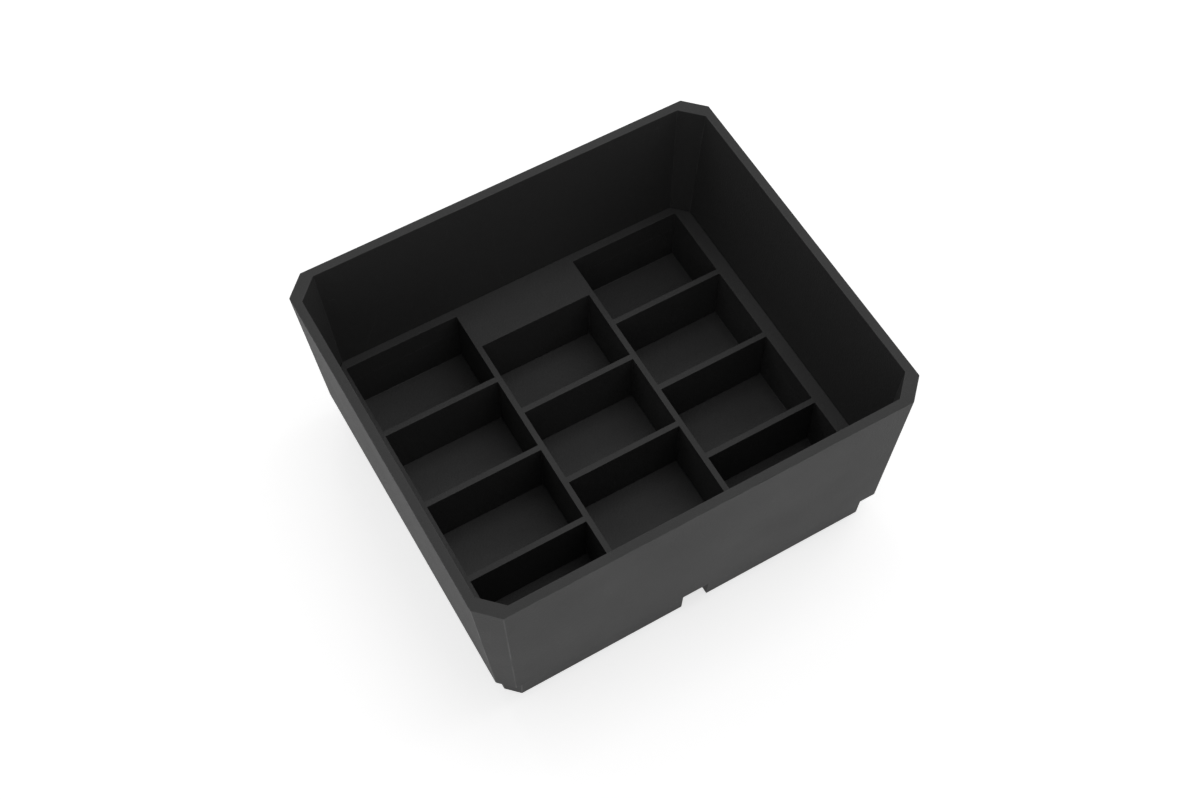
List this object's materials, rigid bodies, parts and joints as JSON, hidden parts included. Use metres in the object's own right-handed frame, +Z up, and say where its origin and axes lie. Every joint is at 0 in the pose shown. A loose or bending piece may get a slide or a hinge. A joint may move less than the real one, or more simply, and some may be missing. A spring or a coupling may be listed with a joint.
{
  "type": "battery storage drawer case",
  "caption": "Tapered open drawer bin with cut corners, an inset plinth with rib bays, and a lift-out staggered cell grid for block batteries.",
  "frame": {"origin": "middle of the footprint, at the underside of the plinth", "axes": "+X right along the front, +Y towards the back, +Z up out of the open top"},
  "size_m": [0.0986, 0.0864, 0.0503],
  "materials": {
    "bin_plastic": "matte dark grey, finely grained",
    "insert_plastic": "matte dark grey, finely grained"
  },
  "bodies": {
    "bin": {"drawer_bin": "bin_plastic"},
    "insert": {"battery_insert": "insert_plastic"}
  },
  "joints": [
    {"name": "insert_lift", "type": "slide", "parent": "bin", "child": "insert", "axis": [0, 0, 1], "range_m": [0, 0.055]}
  ]
}
